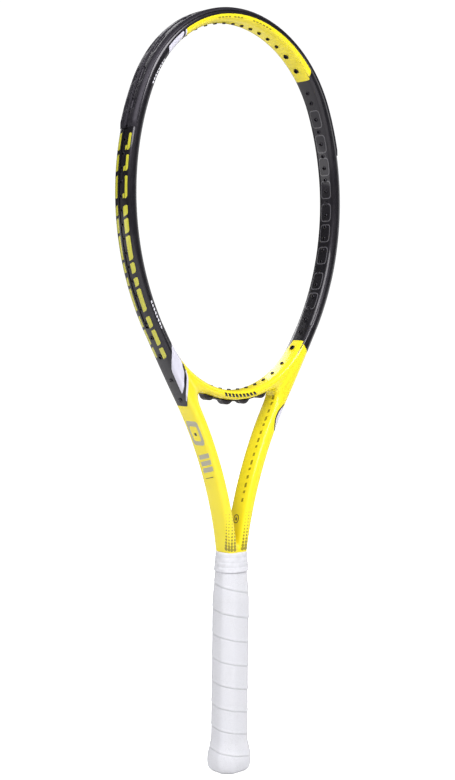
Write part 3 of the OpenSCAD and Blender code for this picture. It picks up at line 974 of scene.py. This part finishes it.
def head_guard():
    lengths = np.linspace(-GUARD_LENGTH, GUARD_LENGTH, 330)
    face = mirrored(GUARD_HALF)
    off = np.broadcast_to(face[:, 0], (len(lengths), len(face))).copy()
    depth = np.broadcast_to(face[:, 1], off.shape)
    # Pockets in every second gap between the string holes
    places = guard_hole_lengths()
    pockets = np.zeros(len(lengths))
    for a, b in list(zip(places, places[1:]))[1::2]:
        half = (b - a) * POCKET_SHARE
        pockets += smooth_step((half - np.abs(lengths - (a + b) / 2)) / POCKET_FADE)
    away = np.abs(depth)
    across = smooth_step((away - POCKET_FROM) / 0.6) * smooth_step((POCKET_TO - away) / 0.7)
    off -= POCKET_DEPTH * pockets[:, None] * across
    off += LIP_HEIGHT * np.exp(-((away - LIP_PLACE) / LIP_SPREAD) ** 2)
    seat = np.interp(away, [0, 7.5, 9.9], [5.45, 5.25, 3.6])
    full = smooth_step((GUARD_LENGTH + 1.5 - np.abs(lengths)) / GUARD_FADE)
    off = seat + (off - seat) * full[:, None]
    outer = np.stack([off, depth], -1)
    inner = mirrored(GUARD_SEAT_HALF)
    inner = np.broadcast_to(inner, (len(lengths), *inner.shape))
    shell = swept(lengths, np.concatenate([outer, inner], 1))
    piece = put("head_guard_shell", *shell, "guard_nylon")
    grommeted(piece, HOLES["guard"], -0.9, 3, sharp=32)
    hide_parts("head_guard")


def grommet_strip(side, word):
    holes = [hole for hole in HOLES["strip"] if hole.side == side]
    lengths = np.linspace(side_length(GUARD_END - 0.4), side_length(SIDE_END + 1), 110) * side
    low = HALF_WIDTH - GROOVE_DEPTH
    half = [(low + 0.03, 2.2), (low + 0.55, 2.2), (low + 0.78, 2.0), (low + 0.8, 1.0)]
    shell = evenly_swept(lengths, mirrored(half))
    piece = put(f"side_grommets_{word}", *shell, "grommet_nylon")
    face = TUBE_WIDTH - GROOVE_DEPTH
    collar = [(face + 0.4, 2.0), (face + 1.0, 2.0), (face + 1.2, 1.75)]
    combine(piece, [pin(hole, collar) for hole in holes], "UNION")
    grommeted(piece, holes, 0.4 - GROOVE_DEPTH, 2, sharp=35)
    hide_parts(f"grommet_strip_{word}")


# A shoulder grommet's flange, as (place past the outer face, how much wider than the barrel)
FLANGE = [(-1.2, 0.05), (-0.1, 0.45), (0.4, 0.45), (0.6, 0.25)]


def shoulder_grommets(side, word):
    holes = [hole for hole in HOLES["shoulder"] if hole.side == side]
    flanges = []
    for hole in holes:
        end, radius = hole.outer - hole.inner, grommet_radius(hole)
        flanges.append(pin(hole, [(end + place, radius + wider) for place, wider in FLANGE]))
    piece = put(f"shoulder_barrels_{word}", *joined(flanges), "grommet_nylon")
    grommeted(piece, holes, 0.2, 4, sharp=35)
    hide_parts(f"shoulder_grommets_{word}")


# The strip under the bridge, which reaches this many degrees to each side
STRIP_THICKNESS = 1.3
STRIP_REACH = 22.4
STRIP_HALF_DEPTH = 4.5
STRIP_CELL = 0.62
LOBE_RADIUS = 6.6
LOBE_SINK = 2.1
LOBE_CROWDING = 0.9
LOBE_FILLET = 1.4


def throat_strip_distance(x, y, z):
    """The strip under the bridge, with a rounded lobe for each pair of strings."""
    x = np.abs(x)
    reach = np.hypot(x, z - BRIDGE_CENTRE[1])
    angle = np.degrees(np.arctan2(x, BRIDGE_CENTRE[1] - z))
    strip = np.maximum(
        np.abs(reach - BRIDGE_OUTER - STRIP_THICKNESS / 2) - STRIP_THICKNESS / 2,
        (angle - STRIP_REACH) * math.radians(1) * BRIDGE_OUTER,
    )
    flat = strip
    bridge = [hole for hole in HOLES["bridge"] if hole.side == 1]
    for a, b in zip(bridge[::2], bridge[1::2]):
        middle = LOBE_CROWDING * ((a.angle + b.angle) / 2 + 90) - 90
        middle = BRIDGE_CENTRE + (BRIDGE_OUTER - LOBE_SINK) * direction(middle)
        lobe = np.hypot(x - middle[0], z - middle[1]) - LOBE_RADIUS
        flat = smooth_min(flat, lobe, LOBE_FILLET)
    dome = 0.5 * np.clip(1 + flat / 3, 0, 1) ** 2
    faces = np.abs(y) - STRIP_HALF_DEPTH + dome
    return smooth_max([flat, faces, BRIDGE_OUTER - 0.12 - reach], 0.3)


def throat_strip():
    corners = (-46, -5.4, 328), (46, 5.4, 348.5)
    name, slot = "throat_bumper_strip", "grommet_nylon"
    piece = grown(name, throat_strip_distance, *corners, STRIP_CELL, slot)
    grommeted(piece, HOLES["bridge"], 0.5, 7, sharp=50)
    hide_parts("throat_grommet_strip")


# ---------------- handle

def handle_growth(z):
    """How far the handle's outline stands out past the plain octagon, at each height."""
    low = FLARE - RIM_ROUND * (1 - np.sqrt(1 - 0.9 * np.clip(1 - z / FLARE_WIDE, 0, 1) ** 2))
    flare = FLARE * (1 + np.cos(np.pi * (z - FLARE_WIDE) / (FLARE_TOP - FLARE_WIDE))) / 2
    taper = -TOP_TAPER * np.maximum(0, z - TAPER_BOTTOM) / (GRIP_TOP - TAPER_BOTTOM)
    return np.select([z < FLARE_WIDE, z < FLARE_TOP], [low, flare], taper)


def octagon_radius(turn, growth, rounding):
    """Distance from the axis to the handle's octagon with rounded corners, for turns in degrees."""
    c, s = np.abs(turn_parts(turn))
    slant = (c + s) / math.sqrt(2)
    corner = (GRIP_WIDTH / 2 + GRIP_DEPTH / 2 - GRIP_BEVEL) / math.sqrt(2)
    planes = [(c, GRIP_WIDTH / 2 + growth), (s, GRIP_DEPTH / 2 + growth), (slant, corner + growth)]
    radius = np.minimum.reduce([reach / np.maximum(facing, 1e-3) for facing, reach in planes])
    for _ in range(8):
        values = [facing * radius - reach for facing, reach in planes]
        top = np.maximum.reduce(values)
        weights = [np.exp((v - top) / rounding) for v in values]
        total = sum(weights)
        value = top + rounding * np.log(total)
        rate = sum(w * facing for w, (facing, _) in zip(weights, planes)) / total
        radius = radius - value / rate
    return radius


def frame_radius(turn, z):
    """Distance from the axis to the painted frame's surface at a height, for turns in degrees."""
    c, s = turn_parts(turn)
    low, high = np.full_like(turn, 4.0), np.full_like(turn, 22.0)
    for _ in range(30):
        middle = (low + high) / 2
        inside = frame_distance(middle * c, middle * s, np.full_like(turn, z)) < 0
        low, high = np.where(inside, middle, low), np.where(inside, high, middle)
    return low


def sleeve(turn, rings):
    """A closed ring-shaped solid from (height, radii) rings, up its outside and down its inside."""
    c, s = turn_parts(turn)
    points = [np.stack([r * c, r * s, np.broadcast_to(z, turn.shape)], -1) for z, r in rings]
    faces = grid_faces(len(rings), len(turn), round_rows=True, round_columns=True)
    return np.concatenate(points), faces


# The winding: height of its first seam, its pitch there, and how the pitch grows with each turn.
# Beside each seam's groove the next wrap's edge stands up in a soft ridge.
FIRST_SEAM = 17.8
FIRST_PITCH = 19.6
PITCH_RISE = 0.26
SEAM_TURN = 227.0
TAPE_WIDTH = 21.5
SEAM_SPREAD = 0.62
SEAM_DEPTH = 0.42
RIDGE_PLACE = 1.7
RIDGE_SPREAD = 1.1
RIDGE_HEIGHT = 0.20
OVERLAP = 0.17
GRIP_COLUMNS = 144
GRIP_ROW = 0.55


def wraps_below(z):
    """Turns of tape wound on below a height. The winding is a little tighter near the butt."""
    root = np.sqrt(np.maximum(FIRST_PITCH ** 2 + 4 * PITCH_RISE * (z - FIRST_SEAM), 1))
    return (root - FIRST_PITCH) / (2 * PITCH_RISE)


def grip_tape():
    turn = np.arange(GRIP_COLUMNS) * 360 / GRIP_COLUMNS
    heights = np.arange(WRAP_BOTTOM, GRIP_TOP, GRIP_ROW)
    z, t = np.meshgrid(heights, turn, indexing="ij")
    past = np.mod(wraps_below(z) + (t - SEAM_TURN) / 360, 1.0) * TAPE_WIDTH
    near = np.minimum(past, TAPE_WIDTH - past)
    groove = np.exp(-(near / SEAM_SPREAD) ** 2)
    ridge = np.exp(-((past - RIDGE_PLACE) / RIDGE_SPREAD) ** 2)
    relief = RIDGE_HEIGHT * ridge + OVERLAP * (1 - past / TAPE_WIDTH) - SEAM_DEPTH * groove
    # The tape is pulled a little unevenly: slow waves round the handle and along it
    relief += 0.07 * np.sin(t / 57.3 * 2 + z * 0.11) * np.sin(z * 0.043 + 1.3)
    fade = smooth_step((z - WRAP_BOTTOM) / 3) * smooth_step((GRIP_TOP - z) / 3)
    rim = 0.5 * np.exp(-(z - WRAP_BOTTOM) / 0.5) + 0.5 * np.exp(-(GRIP_TOP - z) / 0.5)
    radius = octagon_radius(t, handle_growth(z) - 0.12, 1.0) + relief * fade - rim
    rings = list(zip(heights, radius))
    for height in (GRIP_TOP, TAPER_BOTTOM, FLARE_TOP, 24, 17, FLARE_WIDE, 6, 3, WRAP_BOTTOM):
        inner = handle_growth(np.array(float(height))) - TAPE + 0.03
        rings.append((height, octagon_radius(turn, inner, 0.25)))
    points, faces = sleeve(turn, rings)
    piece = put("grip_tape_wrap", points, faces, "grip_tape", smooth=50)
    # Each seam's groove, stored so the grip's colour darkens there as painted shade
    seam = np.zeros(len(points))
    seam[:groove.size] = (groove * fade).ravel()
    add_values(piece.data, "seam", seam)
    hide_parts("grip_wrap")


def grip_collar():
    turn = np.arange(GRIP_COLUMNS) * 360 / GRIP_COLUMNS
    rings = []
    for t in np.linspace(0, 1, COLLAR_RIBS * 10 + 1):
        z = COLLAR_BOTTOM + t * (COLLAR_TOP - COLLAR_BOTTOM)
        rib = abs(math.sin(math.pi * COLLAR_RIBS * t)) ** 0.7
        growth = COLLAR_GROWTH - COLLAR_TAPER * t + RIB_HEIGHT * rib
        growth -= 0.35 * smooth_step((t - 0.97) / 0.03)
        rings.append((z, octagon_radius(turn, growth, 1.5)))
    rings.append((COLLAR_TOP + 0.1, octagon_radius(turn, -3.3, 1.6)))
    for z in (COLLAR_TOP - 0.1, 195, 191, 188):
        rings.append((z, frame_radius(turn, z) + 0.02))
    for z in (GRIP_TOP + 0.1, COLLAR_BOTTOM):
        inner = handle_growth(np.array(min(z, GRIP_TOP))) + 0.25
        rings.append((z, octagon_radius(turn, inner, 0.9)))
    points, faces = sleeve(turn, rings)
    piece = put("rubber_collar", points, faces, "collar_rubber", smooth=38)
    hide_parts("grip_collar")


# ---------------- prints

# Every print is a thin film that stands this far out of the paint and reaches this far into it
INK_TOP = 0.05
INK_SINK = 0.12
FACE_DEPTH = HALF_DEPTH - 0.3


def placed(face, s, w, side):
    """Points close to a face of the tube, at lengths s from the crown and distances w across.

    The right side is the left one turned round the z axis. On the front and the rear, points past
    the tube's outer edge go on round its corner.
    """
    points, normal = middle_line(s)
    off, depth = np.minimum(w, HALF_WIDTH), FACE_DEPTH - np.maximum(w - HALF_WIDTH, 0)
    if face == "front":
        depth = -depth
    if face in ("outer", "inner"):
        off, depth = np.full_like(w, HALF_WIDTH if face == "outer" else -HALF_WIDTH), w
    x, z = (points + normal * off[:, None]).T
    return np.stack([-x * side, depth * side, z], -1)


def film(near, rows, columns, loop=False):
    """A thin closed film of ink on the painted surface, through a grid of points near it."""
    top = settle(frame_field, near, level=INK_TOP)
    low = settle(frame_field, near, level=-INK_SINK)
    total = rows * columns
    faces = grid_faces(rows, columns, round_rows=loop)
    edges = {edge for face in faces for edge in zip(face, face[1:] + face[:1])}
    rim = sorted((a, b) for a, b in edges if (b, a) not in edges)
    faces += [[total + corner for corner in reversed(face)] for face in faces]
    faces += [[b, a, total + a, total + b] for a, b in rim]
    return np.concatenate([top, low]), faces


def block(face, s0, s1, w0, w1, side, slant=0.0, clip=0.0):
    """A slanted bar between two lengths and two distances across. clip cuts its corners at w1."""
    columns = max(3, int(abs(w1 - w0) / 1.2) + 2)
    t = np.linspace(0, 1, max(4, int((s1 - s0) / 1.5) + 2))
    if clip:
        edge = clip / (s1 - s0)
        t = np.unique(np.concatenate([t, [edge, 1 - edge]]))
    s = s0 + (s1 - s0) * t
    far = w1 - np.sign(w1 - w0) * np.maximum(0, clip - np.minimum(s - s0, s1 - s))
    w = w0 + (far - w0)[:, None] * np.linspace(0, 1, columns)
    length = s[:, None] + slant * (w - (w0 + w1) / 2)
    return film(placed(face, length.ravel(), w.ravel(), side), len(t), columns)


def ring(face, s0, w0, outer, inner, side, power, shift=(0.0, 0.0)):
    """A rounded band between two superellipses, given by their half sizes."""
    shape = np.stack(turn_parts(np.arange(RING_STEPS) * 360 / RING_STEPS), -1)
    shape = np.sign(shape) * abs(shape) ** (2 / power)
    inside, outside = shape * inner + shift, shape * outer
    grid = np.stack([inside, (inside + outside) / 2, outside], 1) + (s0, w0)
    s, w = grid.reshape(-1, 2).T
    return film(placed(face, s, w, side), RING_STEPS, 3, loop=True)


def disc(x, z, radius, side):
    """A round dot on the front or the rear, from a square grid pressed into a circle."""
    line = np.linspace(-1, 1, DOT_POINTS)
    a, b = np.meshgrid(line if x < 0 else line[::-1], line, indexing="ij")
    across = abs(x) + radius * a * np.sqrt(1 - b * b / 2)
    height = z + radius * b * np.sqrt(1 - a * a / 2)
    s, w = along_and_off(across.ravel(), height.ravel())
    near = placed("front", s, w, side) if x < 0 else placed("rear", s, w, -side)
    return film(near, DOT_POINTS, DOT_POINTS)


def print_piece(name, colour, shells):
    put(f"print_{name}", *joined(shells), "frame_paint", PRINTS[colour], smooth=60)


# Every print is made for the left side and, turned round the racket's axis, for the right one
SIDES = (1, -1)
RING_STEPS = 64
DOT_POINTS = 6
# Blocks down the outer face: first and last length, and whether the block is a narrow one
OUTER_BLOCKS = [
    (183, 197, True), (201, 214, True), (218, 236, True), (242, 250, False), (252.5, 264, False),
    (266.5, 286, False), (288.5, 297, False), (301, 308, False), (310.5, 330, False),
    (335, 345, False), (347.5, 362, False), (365, 375, False),
]
BLOCK_SLANT = 0.35
BLOCK_CLIP = 1.2
# Places of the other repeated marks, as lengths from the crown
INNER_BOXES = [140.5, 164.8, 187, 209.3, 231.5, 251.8, 274, 300, 321]
CROWN_TICKS = [-33, -28.8, -24.6, -20.4, -16.2, -12, 3, 7.2, 11.4, 18, 22.2, 26.4, 30.6]
# Rows of white dashes: place of the first, its distance across, and how the row drifts across
WHITE_DASHES = [(111, -2.8, 0.048), (323, -0.1, -0.02)]
DASHES = 8
DASH_PITCH = 3.4
SILVER_BARS = [474, 480.6, 487.2]
SHAFT_MARKS = 15
SHAFT_MARK_START = 424
SHAFT_MARK_PITCH = 7.1
SHAFT_MARK_LENGTHS = (4.2, 2.4, 3.2)


def outer_graphics():
    shells = []
    for side in SIDES:
        for s0, s1, narrow in OUTER_BLOCKS:
            front = -5.4 if narrow else -3.0
            for w0, w1 in ((front, -8.2), (4.2, 8.2)):
                shells.append(block("outer", s0, s1, w0, w1, side, BLOCK_SLANT, BLOCK_CLIP))
            if narrow:
                shells.append(block("outer", s1 - 3.6, s1, -2.9, -4.9, side, BLOCK_SLANT))
    # The blocks' yellow print carries painted shade: it is darkened to the paint's look in shade
    print_piece("outer_blocks", "yellow", shells)


def small_marks():
    dark, pale = [], []
    for side in SIDES:
        for s in CROWN_TICKS:
            # A length below zero is past the crown, where the same face is the other side's rear
            face, first, turned = ("front", s, side) if s > 0 else ("rear", -s - 2.6, -side)
            dark.append(block(face, first, first + 2.6, -2.7, -1.5, turned, slant=0.3))
        for first, start, drift in WHITE_DASHES:
            for i in range(DASHES):
                s = first + DASH_PITCH * i
                w = start + drift * DASH_PITCH * i
                pale.append(block("front", s, s + 2.2, w - 0.65, w + 0.65, side, slant=0.5))
        for i in range(SHAFT_MARKS):
            s = SHAFT_MARK_START + SHAFT_MARK_PITCH * i
            length = SHAFT_MARK_LENGTHS[i % len(SHAFT_MARK_LENGTHS)]
            dark.append(block("inner", s, s + length, 2.1, 4.4, side, slant=-0.3))
    print_piece("dark_ticks", "olive", dark)
    print_piece("white_dashes", "white", pale)


def inner_boxes():
    shells = []
    for side in SIDES:
        for s in INNER_BOXES:
            shells.append(ring("inner", s, 0.0, (8.8, 6.2), (8.0, 5.45), side, 5.0))
    print_piece("inner_outlines", "grey", shells)


def silver_marks():
    """A ring and three bars on each shaft, and the small ring above the handle."""
    silver, dark = [], []
    for side in SIDES:
        silver.append(ring("outer", 452.5, -1.2, (12.4, 7.4), (7.6, 4.8), side, 6.0, (0.6, 0.2)))
        dark.append(block("outer", 452.2, 455.2, -2.6, 0.4, side, clip=0.8))
        for s in SILVER_BARS:
            silver.append(block("outer", s, s + 4.6, 4.6, -8.8, side, slant=0.25))
        dark.append(block("outer", 497.3, 498, 4.0, -6.5, side, slant=0.25))
        dark.append(ring("inner", 542.5, 0.0, (4.0, 3.2), (3.2, 2.4), side, 2.4))
        dark.append(block("inner", 541.2, 543.8, -0.9, 0.9, side, slant=0.6))
    print_piece("silver_marks", "silver", silver)
    print_piece("fine_dark_marks", "black", dark)


EDGE_LINE_MIDDLE = 441.5
EDGE_LINE_SPREAD = 12.5
EDGE_LINE_HALF = 0.7


def edge_lines():
    """The thin dark line beside the pale panel at the outer edge of each shaft."""
    shells = []
    s, across = np.meshgrid(np.linspace(428.5, 455.5, 18), [-1, 0, 1], indexing="ij")
    bow = 3.4 * ((s - EDGE_LINE_MIDDLE) / EDGE_LINE_SPREAD) ** 2 - 1.2
    w = bow + EDGE_LINE_HALF * across
    for side in SIDES:
        shells.append(film(placed("rear", s.ravel(), w.ravel(), side), *s.shape))
    print_piece("edge_lines", "black", shells)


# Columns of dots, by their place across the handle's top. Those on the right lean outward.
DOT_COLUMNS = [-16.9, -13.2, -9.5, -5.9, -2.3, 0.4, 3.7, 7.1, 10.4]
DOT_LEAN = 0.13
DOT_ROWS = 12
DOT_PITCH = 2.95
LOWEST_DOT = 203.9
SMALLEST_DOT = 0.4
DOT_GROWTH = 1.35
# Dots stay between these distances off the shaft's middle, counted on round its outer corner
DOT_EDGE = -5.3
DOT_WRAP = 13.0


def halftone():
    """Rows of dots that grow toward the handle until they run into each other."""
    shells = []
    for side in SIDES:
        for row in range(DOT_ROWS):
            rise = DOT_PITCH * row
            z = LOWEST_DOT + rise
            radius = SMALLEST_DOT + DOT_GROWTH * (1 - row / (DOT_ROWS - 1)) ** 1.9
            for place in DOT_COLUMNS:
                x = place + DOT_LEAN * rise * (place > 0)
                off = along_and_off(np.abs(x), np.float64(z))[1]
                if DOT_EDGE + radius < off < DOT_WRAP:
                    shells.append(disc(x, z, radius, side))
    print_piece("halftone_dots", "olive", shells)


BRIDGE_BARS = 9
BAR_PITCH = 2.55


def bridge_bars():
    """Short slanted bars across the front and rear of the bridge."""
    shells = []
    for i in range(BRIDGE_BARS):
        angles = 270 + (i - BRIDGE_BARS // 2) * BAR_PITCH + np.linspace(-0.85, 0.85, 4)
        reaches = np.linspace(BRIDGE_INNER + 2.9, BRIDGE_OUTER - 2.5, 5)
        turn, reach = np.meshgrid(np.radians(angles), reaches, indexing="ij")
        turn = turn + 0.006 * (reach - (BRIDGE_INNER + BRIDGE_OUTER) / 2)
        x, z = reach * np.cos(turn), BRIDGE_CENTRE[1] + reach * np.sin(turn)
        y = np.full_like(x, -BRIDGE_DEPTH / 2)
        for side in SIDES:
            near = np.stack([x * side, y * side, z], -1)
            shells.append(film(near.reshape(-1, 3), *turn.shape))
    print_piece("bridge_bars", "black", shells)


painted_frame()
head_guard()
for side, word in ((-1, "left"), (1, "right")):
    grommet_strip(side, word)
    shoulder_grommets(side, word)
throat_strip()
grip_tape()
grip_collar()
outer_graphics()
small_marks()
inner_boxes()
silver_marks()
edge_lines()
halftone()
bridge_bars()


# ---------------- floor, light and camera

# The floor and the studio's walls look white to the camera, and hardly light the racket
FLOOR_GLOW = 1.1
WORLD_LIGHT = 0.06
WORLD_SEEN = 1.05
FLOOR_HALF = 30.0
# Soft boxes: name, place and target in metres, width and height in metres, power in watts
LIGHTS = [
    ("key", (-0.2, -1.9, 2.3), (0, 0, 0.35), (1.6, 1.3), 72),
    ("left_top", (-2.0, -0.7, 2.0), (0, 0, 0.35), (1.3, 1.3), 44),
    ("right_wall", (2.1, -0.35, 0.5), (0, 0, 0.42), (1.9, 2.2), 16),
    ("back_fill", (0.5, 2.2, 1.9), (0, 0, 0.35), (1.4, 1.4), 28),
    ("left_wall", (-1.7, 1.7, 0.12), (0, 0, 0.3), (1.8, 0.6), 6),
]
# The camera that the photo's outline was fitted with: its place in millimetres and its axes
CAMERA_PLACE = (-797.0583, -846.3635, 406.4286)
CAMERA_FORWARD = (0.68148282, 0.73005249, -0.05103458)
CAMERA_RIGHT = (0.73134968, -0.68191067, 0.01120151)
CAMERA_UP = (0.02662334, 0.04495776, 0.99863406)
CAMERA_LENS = 59.547


def floor():
    mesh = bpy.data.meshes.new("floor")
    corners = [(x * FLOOR_HALF, y * FLOOR_HALF, 0) for x, y in ((-1, -1), (1, -1), (1, 1), (-1, 1))]
    mesh.from_pydata(corners, [], [(0, 1, 2, 3)])
    made, tree, shader = new_material("pale_floor", roughness=0.9, emission_color=(1, 1, 1, 1))
    shader.inputs["Specular IOR Level"].default_value = 0.1
    seen = node(tree, "LightPath").outputs["Is Camera Ray"]
    link(tree, shader, base_color=patchy(tree, 900, 0.84, 0.86),
         emission_strength=remap(tree, seen, 0, 1, 0.0, FLOOR_GLOW))
    mesh.materials.append(made)
    linked("floor", mesh)


def area_light(name, place, target, size, power):
    lamp = bpy.data.lights.new(name, "AREA")
    lamp.shape = "RECTANGLE"
    lamp.size, lamp.size_y = size
    lamp.energy = power
    made = linked(name, lamp)
    made.location = place
    aim = Vector(target) - Vector(place)
    made.rotation_euler = aim.to_track_quat("-Z", "Y").to_euler()


def world():
    made = bpy.data.worlds.new("studio")
    bpy.context.scene.world = made
    made.use_nodes = True
    tree = made.node_tree
    back = tree.nodes["Background"]
    path = node(tree, "LightPath").outputs["Is Camera Ray"]
    strength = remap(tree, path, 0, 1, WORLD_LIGHT, WORLD_SEEN)
    back.inputs["Color"].default_value = (1, 1, 1, 1)
    tree.links.new(strength, back.inputs["Strength"])


def camera():
    lens = bpy.data.cameras.new("camera")
    lens.lens = CAMERA_LENS
    lens.sensor_width = 36
    lens.sensor_fit = "AUTO"
    lens.clip_start = 0.01
    lens.clip_end = 100
    made = linked("camera", lens)
    axes = Matrix((CAMERA_RIGHT, CAMERA_UP, -Vector(CAMERA_FORWARD))).transposed().to_4x4()
    made.matrix_world = Matrix.Translation(Vector(CAMERA_PLACE) * MM) @ axes
    bpy.context.scene.camera = made


floor()
world()
for light in LIGHTS:
    area_light(*light)
camera()
bpy.context.scene.view_settings.view_transform = "Standard"
